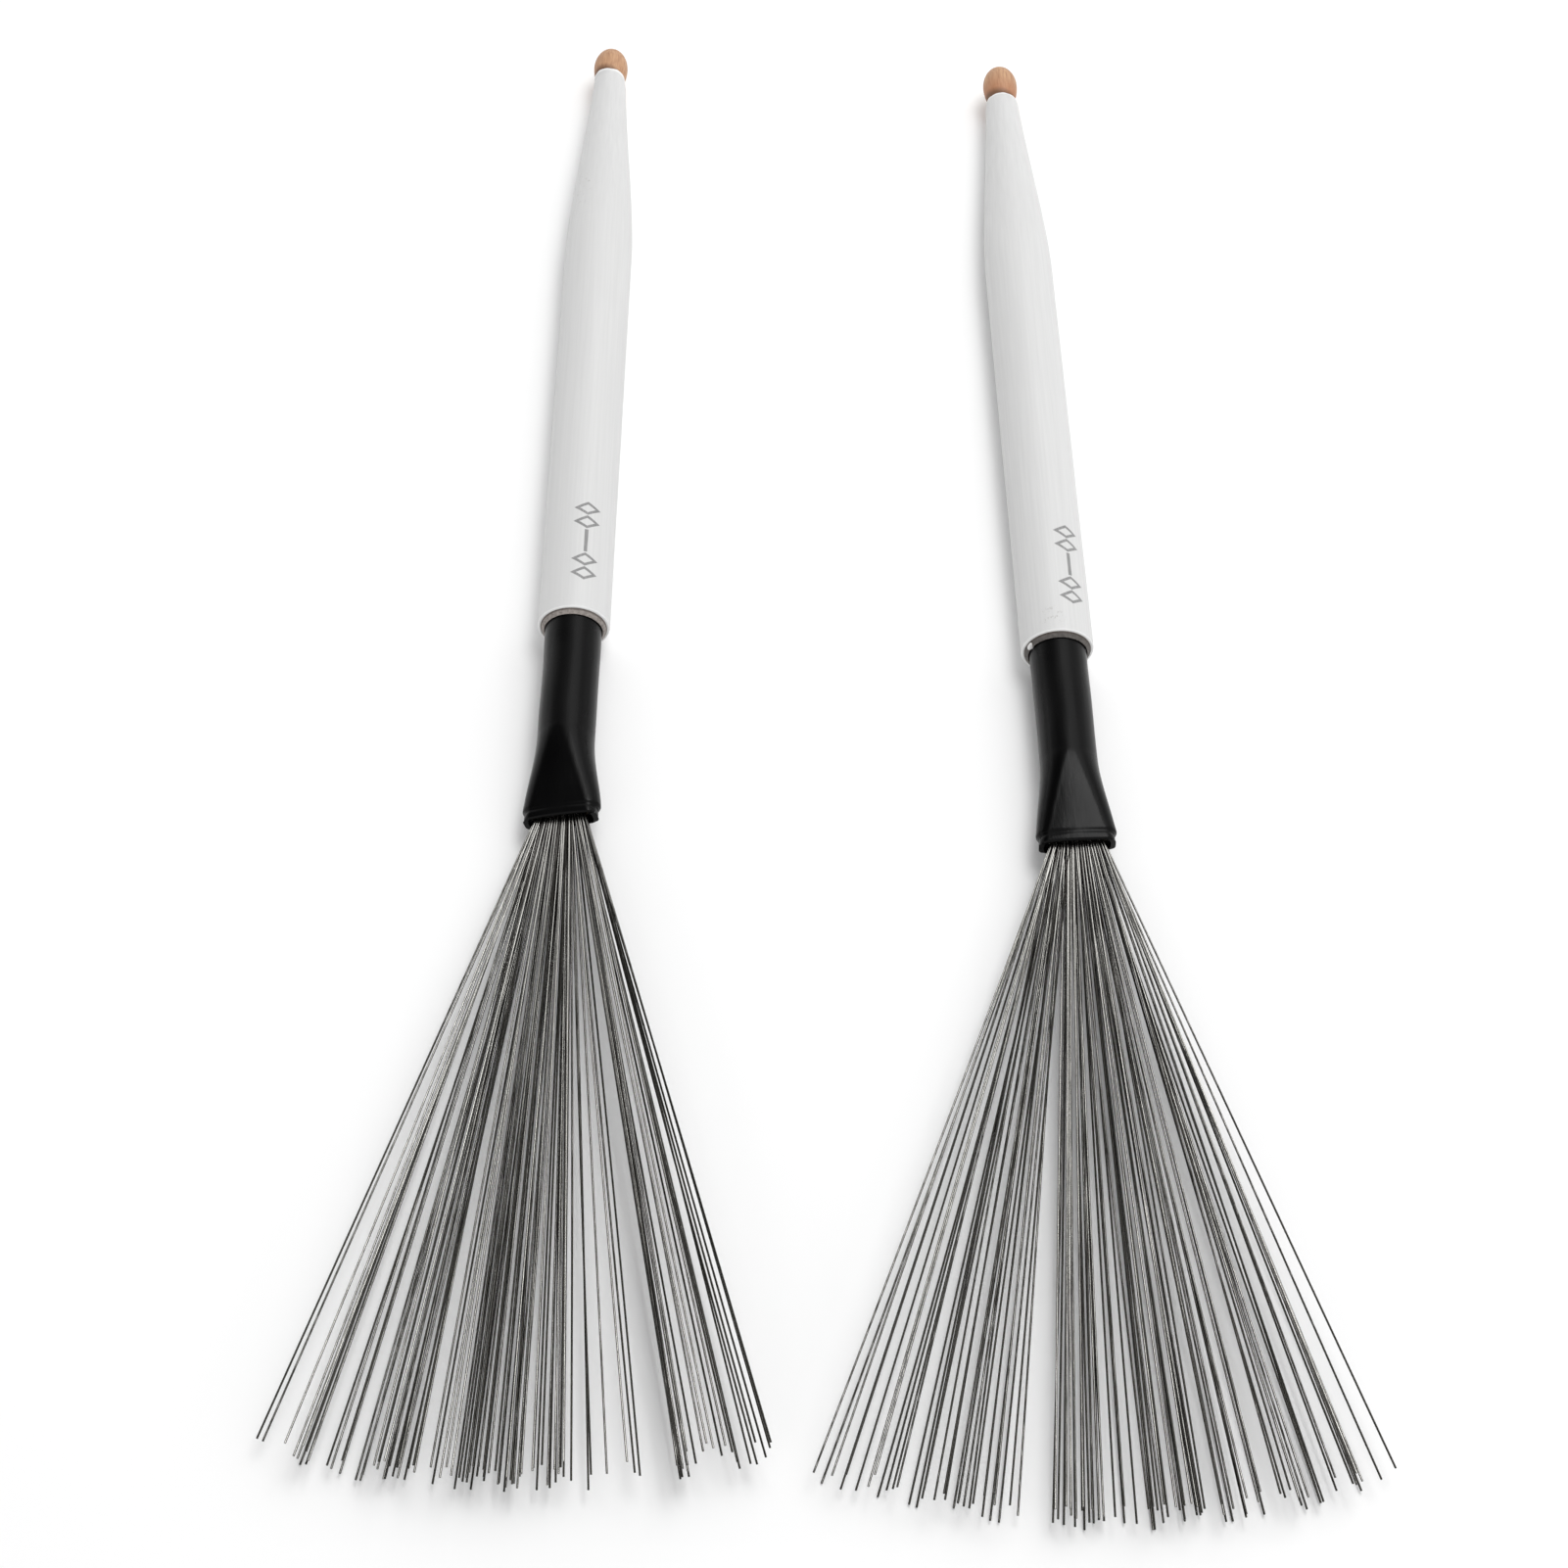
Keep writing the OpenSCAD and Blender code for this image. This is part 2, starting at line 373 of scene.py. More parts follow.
def place_of(tree, on_mesh=True):
    """The point on the surface in millimetres: the brush's own frame, or the scene's for a CAD node."""
    if on_mesh:
        return add_node(tree, "ShaderNodeAttribute", attribute_name="place_mm").outputs["Vector"]
    place = add_node(tree, "ShaderNodeTexCoord").outputs["Object"]
    inputs = {0: place, 1: (1 / MM, 1 / MM, 1 / MM)}
    return add_node(tree, "ShaderNodeVectorMath", inputs, operation="MULTIPLY").outputs[0]


def axes_of(tree, vector):
    """The x, y and z of a vector, as three sockets."""
    return add_node(tree, "ShaderNodeSeparateXYZ", {0: vector}).outputs


def from_axis(tree, x, z):
    """The distance from the brush's middle line."""
    squares = calc(tree, "ADD", calc(tree, "MULTIPLY", x, x), calc(tree, "MULTIPLY", z, z))
    return calc(tree, "SQRT", squares)


def stretched(tree, place, scale, shift=(0, 0, 0)):
    """The place with its own scale along each axis."""
    inputs = {"Vector": place, "Scale": scale, "Location": shift}
    return add_node(tree, "ShaderNodeMapping", inputs).outputs[0]


def grain(tree, place, scale, detail=3.0, roughness=0.5, shift=(0, 0, 0)):
    """Noise from 0 to 1 with its own scale along each axis, in cycles per millimetre."""
    inputs = {"Scale": 1.0, "Detail": detail, "Roughness": roughness}
    inputs["Vector"] = stretched(tree, place, scale, shift)
    return add_node(tree, "ShaderNodeTexNoise", inputs).outputs["Fac"]


def bump(tree, height, depth_mm):
    """A normal for a height that runs from 0 to 1 over depth_mm."""
    inputs = {"Height": height, "Distance": depth_mm * MM, "Strength": 1.0}
    return add_node(tree, "ShaderNodeBump", inputs).outputs["Normal"]


def new_material(name, **uniform):
    """A material whose even values are set on its shader's own sockets."""
    material = bpy.data.materials.new(name)
    material.use_nodes = True
    tree = material.node_tree
    shader = tree.nodes["Principled BSDF"]
    for key, value in uniform.items():
        shader.inputs[key.replace("_", " ")].default_value = value
    return material, tree, shader


def finish_material(tree, shader, **linked):
    """Links what varies over the surface to the shader."""
    for key, socket in linked.items():
        tree.links.new(socket, shader.inputs[key.replace("_", " ")])


# ---------------------------------------------------------------- materials

def bare_wood(side):
    material, tree, shader = new_material("bare_wood_" + side)
    place = place_of(tree)
    shift = (SEED[side], 0, 3)
    fibres = grain(tree, place, (2.6, 0.22, 2.6), 4, 0.6, shift)
    bands = grain(tree, place, (0.5, 0.05, 0.5), 2, 0.5, shift)
    pores = grain(tree, place, (7.0, 0.7, 7.0), 2, 0.6, shift)
    x, y, z = axes_of(tree, place)
    colour = blend_colours(tree, between(tree, bands, 0.35, 0.65), TAN, WARM_TAN)
    colour = blend_colours(tree, between(tree, fibres, 0.42, 0.68), colour, FIBRE_BROWN)
    colour = blend_colours(tree, between(tree, pores, 0.62, 0.72, 0, 0.55), colour, PORE_BROWN)
    # painted shade: the back of the bead reddens, and the crease behind it darkens, mostly on its left, away from
    # the light
    tilted_y = calc(tree, "MULTIPLY_ADD", z, -0.5 * PAINT_TILT[side], y)
    crease_y = calc(tree, "MULTIPLY_ADD", x, 0.22, tilted_y)
    bead_shade = between(tree, crease_y, NECK_Y + 5, NECK_Y + 0.8, 0, BEAD_SHADE_REDNESS[side])
    colour = blend_colours(tree, bead_shade, colour, SHADE_RED)
    crease_shade = between(tree, crease_y, NECK_Y + 1.5, NECK_Y + 0.2)
    colour = blend_colours(tree, crease_shade, colour, CREASE_SHADE_BROWN)
    rough = between(tree, fibres, 0.3, 0.7, 0.5, 0.66)
    relief = calc(tree, "SUBTRACT", fibres, calc(tree, "MULTIPLY", pores, 0.6))
    finish_material(tree, shader, Base_Color=colour, Roughness=rough, Normal=bump(tree, relief, 0.05))
    return material


def lozenge(tree, y, v, centre):
    """A mask that is 1 on the outline of a lozenge at y = centre and v = 0, with a soft edge."""
    away = calc(tree, "ABSOLUTE", calc(tree, "SUBTRACT", y, centre))
    along = calc(tree, "DIVIDE", away, LOZENGE_HALF_L)
    across = calc(tree, "DIVIDE", calc(tree, "ABSOLUTE", v), LOZENGE_HALF_W)
    far = calc(tree, "ADD", along, across)
    soft = 0.03
    inside = between(tree, far, 1 + soft, 1 - soft)
    hollow = between(tree, far, 1 - LOZENGE_LINE + soft, 1 - LOZENGE_LINE - soft)
    return calc(tree, "SUBTRACT", inside, hollow)


def plain_mark(tree, x, y, z):
    """Two pairs of lozenges with a dash between them, along the grip near its butt."""
    turn = calc(tree, "ARCTAN2", x, z)
    v = calc(tree, "SUBTRACT", calc(tree, "MULTIPLY", turn, GRIP_R), MARK_ROUND)
    away = calc(tree, "ABSOLUTE", calc(tree, "SUBTRACT", y, DASH_Y))
    along = between(tree, away, DASH_HALF_L, DASH_HALF_L - 0.1)
    across = between(tree, calc(tree, "ABSOLUTE", v), DASH_HALF_W, DASH_HALF_W - 0.08)
    mask = calc(tree, "MULTIPLY", along, across)
    for centre in LOZENGES_Y:
        mask = calc(tree, "MAXIMUM", mask, lozenge(tree, y, v, centre))
    return mask


def white_lacquer(side):
    uniform = {"Coat_Weight": 0.08, "Coat_Roughness": 0.35, "Specular_IOR_Level": 0.35}
    material, tree, shader = new_material("white_lacquer_" + side, **uniform)
    place = place_of(tree)
    shift = (0, SEED[side], 5)
    x, y, z = axes_of(tree, place)
    fibres = grain(tree, place, (1.9, 0.035, 1.9), 4, 0.6, shift)
    cloud = grain(tree, place, (0.12, 0.05, 0.12), 2, 0.5, shift)
    fine = grain(tree, place, (5, 0.35, 5), 2, 0.5, shift)
    colour = blend_colours(tree, between(tree, fibres, 0.35, 0.7), LACQUER_WHITE, LACQUER_GRAIN)
    colour = blend_colours(tree, between(tree, cloud, 0.4, 0.7, 0, 0.5), colour, LACQUER_CLOUD)
    # faint specks at the shoulder of the left stick, and short scuffs near the butt of the right one:
    # where they start and end along the brush, and their middle and half width round it in radians
    if side == "left":
        first, last, angle, spread = 113, 129, -0.45, 0.7
        spots = between(tree, grain(tree, place, (1.5, 0.9, 1.5), 3, 0.7, shift), 0.6, 0.7)
    else:
        first, last, angle, spread = 1.5, 6.5, -0.12, 0.4
        spots = between(tree, grain(tree, place, (1.1, 0.8, 1.1), 4, 0.75, shift), 0.56, 0.62)
    middle, half = (first + last) / 2, (last - first) / 2
    near_y = between(tree, calc(tree, "ABSOLUTE", calc(tree, "SUBTRACT", y, middle)), half, half * 0.4)
    turn = calc(tree, "ABSOLUTE", calc(tree, "SUBTRACT", calc(tree, "ARCTAN2", x, z), angle))
    where = calc(tree, "MULTIPLY", near_y, between(tree, turn, spread, spread * 0.4))
    wear = calc(tree, "MULTIPLY", calc(tree, "MULTIPLY", spots, where), 0.75)
    colour = blend_colours(tree, wear, colour, LACQUER_WORN)
    # painted highlight: the paint is whiter on its rounded lip behind the bead and on its rim at the butt
    tilt = PAINT_TILT[side]
    lip_y = calc(tree, "SUBTRACT", calc(tree, "MULTIPLY_ADD", z, -tilt / NECK_R, y), tilt)
    painted_highlight = between(tree, lip_y, PAINT_END - 1.1, PAINT_END - 0.6, 0, 0.8)
    painted_highlight = calc(tree, "MAXIMUM", painted_highlight, between(tree, y, 0.4, 0.1, 0, 0.8))
    colour = blend_colours(tree, painted_highlight, colour, LACQUER_HIGHLIGHT)
    worn_ink = between(tree, fine, 0.3, 0.5, 0.7, 0.95)
    ink = calc(tree, "MULTIPLY", plain_mark(tree, x, y, z), worn_ink)
    colour = blend_colours(tree, ink, colour, INK)
    rough = between(tree, fibres, 0.3, 0.7, 0.36, 0.5)
    relief = calc(tree, "ADD", fibres, calc(tree, "MULTIPLY", fine, 0.25))
    finish_material(tree, shader, Base_Color=colour, Roughness=rough, Normal=bump(tree, relief, 0.03))
    return material


def grey_adhesive(side):
    material, tree, shader = new_material("grey_adhesive_" + side)
    place = place_of(tree)
    shift = (SEED[side], 2, 0)
    axes = axes_of(tree, place)
    lumps = grain(tree, place, (1.6, 1.6, 1.6), 4, 0.65, shift)
    grit = grain(tree, place, (6, 6, 6), 2, 0.6, shift)
    # the right side's darker colours are painted shade
    light, dark = ADHESIVE_LIGHT[side], ADHESIVE_DARK[side]
    colour = blend_colours(tree, between(tree, lumps, 0.35, 0.68), light, dark)
    # painted shade: a dark line round the collar's outer edge, in the gap under the lacquer's rim
    edge = between(tree, from_axis(tree, axes["X"], axes["Z"]), GRIP_R - 0.82, GRIP_R - 0.68)
    colour = blend_colours(tree, calc(tree, "MULTIPLY", edge, 0.8), colour, ADHESIVE_EDGE_SHADE)
    rough = between(tree, grit, 0.3, 0.7, 0.42, 0.75)
    relief = calc(tree, "ADD", lumps, calc(tree, "MULTIPLY", grit, 0.3))
    finish_material(tree, shader, Base_Color=colour, Roughness=rough, Normal=bump(tree, relief, 0.12))
    return material


def glossy_glue():
    material, tree, shader = new_material("glossy_glue", Roughness=0.12)
    place = place_of(tree)
    cloud = grain(tree, place, (2, 2, 2), 2)
    # the near-white colour is partly a painted glint
    colour = blend_colours(tree, cloud, GLUE_LIGHT, GLUE_DARK)
    finish_material(tree, shader, Base_Color=colour, Normal=bump(tree, cloud, 0.04))
    return material


def black_sleeve(side):
    material, tree, shader = new_material("black_sleeve_" + side, Specular_IOR_Level=0.12)
    place = place_of(tree)
    shift = (SEED[side], 0, 1)
    cloud = grain(tree, place, (0.16, 0.07, 0.16), 3, 0.5, shift)
    skin_grain = grain(tree, place, (3.2, 2.2, 3.2), 3, 0.55, shift)
    drawn = grain(tree, place, (1.1, 0.08, 1.1), 3, 0.6, shift)
    colour = blend_colours(tree, cloud, SLEEVE_BLACK, SLEEVE_WORN)
    rough = between(tree, cloud, 0.3, 0.7, 0.23, 0.32)
    relief = calc(tree, "ADD", calc(tree, "MULTIPLY", skin_grain, 0.2), drawn)
    finish_material(tree, shader, Base_Color=colour, Roughness=rough, Normal=bump(tree, relief, 0.03))
    return material


def steel_tube():
    material, tree, shader = new_material("steel_tube", Metallic=1.0)
    place = place_of(tree, on_mesh=False)
    marks = grain(tree, place, (1.5, 0.3, 1.5), 3, 0.6)
    colour = blend_colours(tree, marks, TUBE_DARK, TUBE_LIGHT)
    rough = between(tree, marks, 0.3, 0.7, 0.28, 0.42)
    finish_material(tree, shader, Base_Color=colour, Roughness=rough, Normal=bump(tree, marks, 0.02))
    return material


def resin():
    material, tree, shader = new_material("resin", Coat_Weight=0.4)
    place = place_of(tree, on_mesh=False)
    cloud = grain(tree, place, (0.9, 0.9, 0.9), 4, 0.6)
    colour = blend_colours(tree, cloud, RESIN_LIGHT, RESIN_DARK)
    rough = between(tree, cloud, 0.3, 0.7, 0.25, 0.4)
    finish_material(tree, shader, Base_Color=colour, Roughness=rough, Normal=bump(tree, cloud, 0.1))
    return material


def spring_wire(side):
    material, tree, shader = new_material("spring_wire_" + side, Metallic=1.0)
    place = place_of(tree)
    tone = add_node(tree, "ShaderNodeAttribute", attribute_name="tone").outputs["Fac"]
    top = add_node(tree, "ShaderNodeAttribute", attribute_name="top").outputs["Fac"]
    shift = (SEED[side], 0, 0)
    along = grain(tree, place, (1.2, 0.09, 1.2), 3, 0.6, shift)
    drawn = grain(tree, place, (6, 0.5, 6), 2, 0.5, shift)
    y = axes_of(tree, place)["Y"]
    # towards their tips, at y = -186, the wires are duller and differ more from each other
    contrast = between(tree, y, -115, -50, 1.0, 0.5)
    mean_tone = between(tree, y, -145, -65, TIP_TONE[side], MIDDLE_TONE[side])
    mean_tone = calc(tree, "ADD", mean_tone, between(tree, y, -62, -48, 0, ROOT_TONE[side]))
    shade = calc(tree, "MULTIPLY_ADD", tone, contrast, mean_tone)
    shade = calc(tree, "ADD", shade, between(tree, along, 0.3, 0.7, -0.13, 0.13))
    colour = blend_colours(tree, between(tree, shade, 0, 1), WIRE_DARK, WIRE_BRIGHT)
    # painted shade: each wire's flanks and underside are darker, so each wire shows dark edges
    colour = blend_colours(tree, between(tree, top, 0.3, 0.95), WIRE_FLANK_SHADE, colour)
    rough = between(tree, drawn, 0.3, 0.7, 0.18, 0.28)
    finish_material(tree, shader, Base_Color=colour, Roughness=rough, Normal=bump(tree, drawn, 0.002))
    return material


def pale_floor():
    material, tree, shader = new_material("pale_floor", Specular_IOR_Level=0.1)
    shader.inputs["Base Color"].default_value = FLOOR_WHITE
    shader.inputs["Roughness"].default_value = 0.8
    shader.inputs["Emission Color"].default_value = WHITE
    # painted light: the floor glows more far from the object, so it fades into the white room
    place = add_node(tree, "ShaderNodeTexCoord").outputs["Object"]
    far = add_node(tree, "ShaderNodeVectorMath", {0: place}, operation="LENGTH").outputs["Value"]
    glow = between(tree, far, GLOW_FROM, GLOW_TO, GLOW_LEAST, GLOW_MOST)
    tree.links.new(glow, shader.inputs["Emission Strength"])
    return material


# ---------------------------------------------------------------- stick

def taper_points(steps):
    """The side of the stick from the grip to the neck, as (radius, y) on one Bezier curve."""
    length = NECK_Y - GRIP_L
    corners = np.array([
        [GRIP_R, GRIP_L],
        [GRIP_R, GRIP_L + SHOULDER_PULL * length],
        [NECK_R + NECK_PULL_OUT, NECK_Y - NECK_PULL * length],
        [NECK_R, NECK_Y - 0.15],
    ])
    t = np.linspace(0, 1, steps + 1)[:, None]
    weights = [(1 - t) ** 3, 3 * (1 - t) ** 2 * t, 3 * (1 - t) * t * t, t ** 3]
    return sum(w * c for w, c in zip(weights, corners))


# the bead's root, which stays just inside the paint's lip
ROOT_R = NECK_R - PAINT_NECK_IN - LIP_IN - 0.05
BEAD_Y = STICK_L - BEAD_FRONT
BEAD_BACK = (BEAD_Y - NECK_Y) / math.sin(math.acos(ROOT_R / BEAD_R))


def bead_swell(y):
    """How much wider than its root the bead is at y, behind its widest point."""
    across = np.sqrt(1 - np.clip((BEAD_Y - y) / BEAD_BACK, 0, 1) ** 2)
    return np.where(y > NECK_Y, BEAD_R * across - ROOT_R, 0)


def neck_in(y):
    """How far the neck draws in just behind the bead."""
    return PAINT_NECK_IN * smooth((y - (PAINT_END - NECK_IN_L)) / NECK_IN_L)


def stick_side():
    """The lacquer's outside from just past the rim to the end of the paint."""
    points = [(GRIP_R, y) for y in np.linspace(RIM_R + 0.6, GRIP_L, 30)]
    points += [(r, y) for r, y in taper_points(60)[1:] if y < PAINT_END - 2.4]
    # the last 2.3 mm are finer, because the neck draws in there
    ends = taper_points(600)
    for y in np.linspace(PAINT_END - 2.3, PAINT_END - 0.6, 12):
        points.append((float(np.interp(y, ends[:, 1], ends[:, 0])), y))
    return [(r - neck_in(y), y) for r, y in points]


def under_paint():
    """The outside of the wood under the lacquer, from the neck to the butt."""
    return [(r - COAT_T, y) for r, y in stick_side()[::-1] if y < WOOD_UNDER_PAINT_END]


def build_wood(side):
    """The stick's bead, its body under the lacquer and the bore for the sleeve."""
    outline = [(0, STICK_L)]
    for a in np.linspace(0, math.pi / 2, 19)[1:-1][::-1]:
        outline.append((BEAD_R * math.cos(a) ** BEAD_POINT, BEAD_Y + BEAD_FRONT * math.sin(a)))
    root_turn = math.asin((BEAD_Y - NECK_Y) / BEAD_BACK)
    for a in np.linspace(0, root_turn, 15):
        outline.append((BEAD_R * math.cos(a), BEAD_Y - BEAD_BACK * math.sin(a)))
    outline += [(ROOT_R, NECK_Y - 0.4)] + under_paint()
    outline += [(GRIP_R - COAT_T, RIM_R), (GRIP_R - RIM_R - COAT_T, WOOD_START)]
    outline += [(BORE_R, WOOD_START), (BORE_R, BORE_L), (0, BORE_L)]
    points, faces = skin(revolve(outline))
    piece = make_piece(side + "_bead_and_stick", side, points, faces, bare_wood(side), 50)
    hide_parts(side + "_stick")
    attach(piece, side + "_brush")


def build_lacquer(side):
    """The lacquer's outside, its rounded lip behind the bead and its inside on the wood."""
    outline = []
    for a in np.linspace(0, math.pi / 2, 9):
        outline.append((GRIP_R - RIM_R + RIM_R * math.sin(a), RIM_R - RIM_R * math.cos(a)))
    outline += stick_side()
    end_r = outline[-1][0]
    for a in np.linspace(0.15, math.pi / 2, 9):
        outline.append((end_r - LIP_IN * (1 - math.cos(a)), PAINT_END - LIP_L + LIP_L * math.sin(a)))
    outline += [(ROOT_R + 0.01, PAINT_END - 0.05), (ROOT_R + 0.01, PAINT_END - 0.35)]
    outline += under_paint()
    rim_r = GRIP_R - RIM_R - COAT_T
    outline += [(GRIP_R - COAT_T, RIM_R), (rim_r + 0.1, 0.14), (rim_r, 0.04)]
    points, faces = skin(revolve(outline), loop=True)
    # the paint's edge at the neck wanders a little, and on the left stick it runs further up at the top
    angle = np.arctan2(points[:, 0], points[:, 2])
    phase = SEED[side]
    wander = 0.10 * np.sin(2 * angle + phase) + 0.06 * np.sin(5 * angle + 2 * phase)
    wander += 0.03 * np.sin(11 * angle)
    wander += PAINT_TILT[side] * (1 + np.cos(angle)) - 0.19
    near_root = np.hypot(points[:, 0], points[:, 2]) < ROOT_R + 0.02
    run = np.where(near_root, 1, smooth((points[:, 1] - (PAINT_END - NECK_IN_L)) / 1.7))
    points[:, 1] += wander * run
    # where the paint runs up onto the bead, it lies on the wood
    widen = 1 + bead_swell(points[:, 1]) / np.hypot(points[:, 0], points[:, 2])
    points[:, 0] *= widen
    points[:, 2] *= widen
    # the coat isn't perfectly even
    uneven = 0.012 * (np.sin(points[:, 1] / 9 + phase + 2 * angle) - 1)
    scale = 1 + uneven / GRIP_R
    points[:, 0] *= scale
    points[:, 2] *= scale
    piece = make_piece(side + "_lacquer", side, points, faces, white_lacquer(side), 60)
    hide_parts(side + "_white_coat")
    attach(piece, side + "_brush")


# ---------------------------------------------------------------- glue collar

def build_collar(side):
    """A low cone of set adhesive on the butt round the sleeve, with a lumpy surface."""
    outline = [(GRIP_R - 0.6, 0.1), (GRIP_R - 0.6, -0.06), (GRIP_R - 0.64, -0.16), (GRIP_R - 0.7, -0.24)]
    outline += zip(np.linspace(GRIP_R - 0.76, SLEEVE_R + 0.33, 9), np.linspace(-0.32, -0.92, 9))
    outline += [(SLEEVE_R + 0.26, -0.98), (SLEEVE_R + 0.17, -0.96)]
    outline += [(SLEEVE_R + 0.1, -0.8), (SLEEVE_R + 0.08, 0.1)]
    points, faces = skin(revolve(outline, COLLAR_AROUND), loop=True)
    # only what stands out of the butt is lumpy
    lumpy = smooth((-points[:, 1] - 0.05) / 0.3)
    for i, p in enumerate(points):
        where = Vector(p) * 1.1 + Vector((SEED[side], 0, 0))
        push = 0.09 * noise.noise(where) + 0.05 * noise.noise(where * 3.1)
        points[i, 1] = min(p[1], max(-1.0, p[1] + lumpy[i] * (push + 0.03)))
        points[i, [0, 2]] *= 1 + 0.006 * lumpy[i] * noise.noise(where * 2)
    look = grey_adhesive(side)
    piece = make_piece(side + "_adhesive_collar", side, points, faces, look, 60)
    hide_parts(side + "_glue_collar")
    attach(piece, side + "_brush")


def build_glue_drop():
    """A drop of glue that set glossy on the right collar's left side."""
    half_x, half_y, half_z = 0.6, 0.4, 1.1
    angles = np.linspace(0, 2 * np.pi, 20, endpoint=False)
    rings = []
    for turn in np.linspace(0, math.pi, 10):
        size = math.sin(turn)
        y = -half_y * math.cos(turn)
        if size < 1e-6:
            rings.append(np.array([[0, y, 0]]))
        else:
            lump = 1 + 0.18 * np.sin(3 * angles + 2 * turn)
            x = half_x * size * np.cos(angles) * lump
            z = half_z * size * np.sin(angles) * lump
            rings.append(np.stack([x, np.full(20, y), z], 1))
    points, faces = skin(rings)
    round_collar, from_middle, past_butt = math.radians(-62), 6.4, 0.64
    points += [from_middle * math.sin(round_collar), -past_butt, from_middle * math.cos(round_collar)]
    piece = make_piece("right_glue_drop", "right", points, faces, glossy_glue(), 80)
    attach(piece, "right_brush")


# ---------------------------------------------------------------- sleeve

def sleeve_section(s, inset):
    """The sleeve's outside at s: two flats that widen into the mouth, joined by elliptic flanks."""
    run = np.clip((s - FLARE_S) / (SLEEVE_L - FLARE_S), 0, 1)
    flare = smooth(run)
    # the flats make a wedge, which starts softly and then runs straight to the mouth
    wedge = (1 + WEDGE_START) * run ** 2 / (run + WEDGE_START)
    half_w = SLEEVE_R + (MOUTH_HALF_W - SLEEVE_R) * flare - CORNER_IN * inset
    half_w -= LIP_NARROWER * smooth((s - LIP_S) / LIP_STEP_L)
    half_h = SLEEVE_R + (MOUTH_HALF_H - SLEEVE_R) * wedge
    flat = FACET_HALF_W * run
    t = np.linspace(0, np.pi / 2, 60)
    flank = np.stack([flat + (half_w - inset - flat) * np.cos(t), (half_h - inset) * np.sin(t)], 1)
    across = np.linspace(flat, 0, 40)[1:]
    # the flat is crowned a little between its edges
    crown = CROWN * flare * (1 - (across / max(flat, 1e-6)) ** 2)
    top = np.concatenate([flank, np.stack([across, half_h - inset + crown], 1)])
    upper = np.concatenate([top, (top * [-1, 1])[::-1][1:]])
    loop = np.concatenate([upper, (upper * [1, -1])[::-1][1:-1]])
    return evenly(loop, AROUND)


def inner_section(s, inset):
    """The sleeve's inside at s, which clears the tube."""
    flare = smooth((s - FLARE_S) / (SLEEVE_L - FLARE_S))
    power = 2 + (INNER_POWER - 2) * flare
    half_w = SLEEVE_R + (MOUTH_HALF_W - SLEEVE_R) * flare - inset
    half_h = SLEEVE_R + (INNER_HALF_H - SLEEVE_R) * flare - inset
    a = np.linspace(0, 2 * np.pi, 720, endpoint=False)
    x = half_w * np.sign(np.cos(a)) * np.abs(np.cos(a)) ** (2 / power)
    z = half_h * np.sign(np.sin(a)) * np.abs(np.sin(a)) ** (2 / power)
    return evenly(np.stack([x, z], 1), AROUND)


def sleeve_stations():
    """Distances s down the sleeve's outside, each with how far it is drawn in there."""
    plain_end = 45.2
    lip_start = SLEEVE_L - LIP_ROUND
    stations = [(s, 0.0) for s in (-SET_DEPTH, -12, -2, 0, 1)]
    stations += [(s, 0.0) for s in np.arange(3, FLARE_S - 1, 2)]
    stations += [(s, 0.0) for s in np.arange(FLARE_S - 1, plain_end, 0.5)]
    for s in np.arange(plain_end, lip_start, 0.15):
        stations.append((s, GROOVE_DEEP * math.exp(-((s - LIP_S) / GROOVE_HALF_L) ** 2)))
    for a in np.linspace(0, math.pi / 2, 7):
        stations.append((lip_start + LIP_ROUND * math.sin(a), LIP_ROUND * (1 - math.cos(a))))
    return stations


def build_sleeve(side):
    """The sleeve, with a groove behind the lip of its mouth and a surface that waves a little."""
    phase = SEED[side]
    rings = []
    for s, inset in sleeve_stations():
        ring = sleeve_section(s, 0)
        angle = np.arctan2(ring[:, 0], ring[:, 1])
        if inset:
            # the groove behind the lip is deepest at the corners
            depth = 1 if s > LIP_S + 1 else (0.45 + 0.65 * np.sin(angle) ** 2)[:, None]
            ring = ring + (sleeve_section(s, inset) - ring) * depth
        # the surface waves by less than a tenth of a millimetre, and not at the butt or the mouth
        soft = smooth((s - 2) / 6) * (1 - smooth((s - 43) / 4))
        wave = 0.05 * np.sin(s / 6.1 + phase + angle) + 0.035 * np.sin(s / 3.3 + 2 * angle + 2 * phase)
        ring = ring * (1 + (soft * (wave - 0.06) / SLEEVE_R))[:, None]
        rings.append(np.stack([ring[:, 0], np.full(AROUND, -s), ring[:, 1]], 1))
    inner = [(SLEEVE_L - 0.06, SLEEVE_T - 0.12), (SLEEVE_L - 0.25, SLEEVE_T), (SLEEVE_L - 1.0, SLEEVE_T)]
    inner += [(s, SLEEVE_T) for s in np.arange(46, FLARE_S - 1, -1.5)]
    inner += [(SLEEVE_L / 4, SLEEVE_T), (-SET_DEPTH, SLEEVE_T)]
    for s, inset in inner:
        ring = inner_section(s, inset)
        rings.append(np.stack([ring[:, 0], np.full(AROUND, -s), ring[:, 1]], 1))
    points, faces = skin(rings, loop=True)
    look = black_sleeve(side)
    piece = make_piece(side + "_black_sleeve", side, points, faces, look, 60)
    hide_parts(side + "_sleeve")
    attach(piece, side + "_brush")


# ---------------------------------------------------------------- wires

def fan_angles(side, dice):
    """One direction for each wire's tip, bunched into the side's tufts."""
    angles = []
    for first, last, count in TUFTS[side]:
        scatter = dice.uniform(-0.9, 0.9, count) * (last - first) / count
        angles += list(np.clip(np.linspace(first, last, count) + scatter, first, last))
    return np.sort(angles)


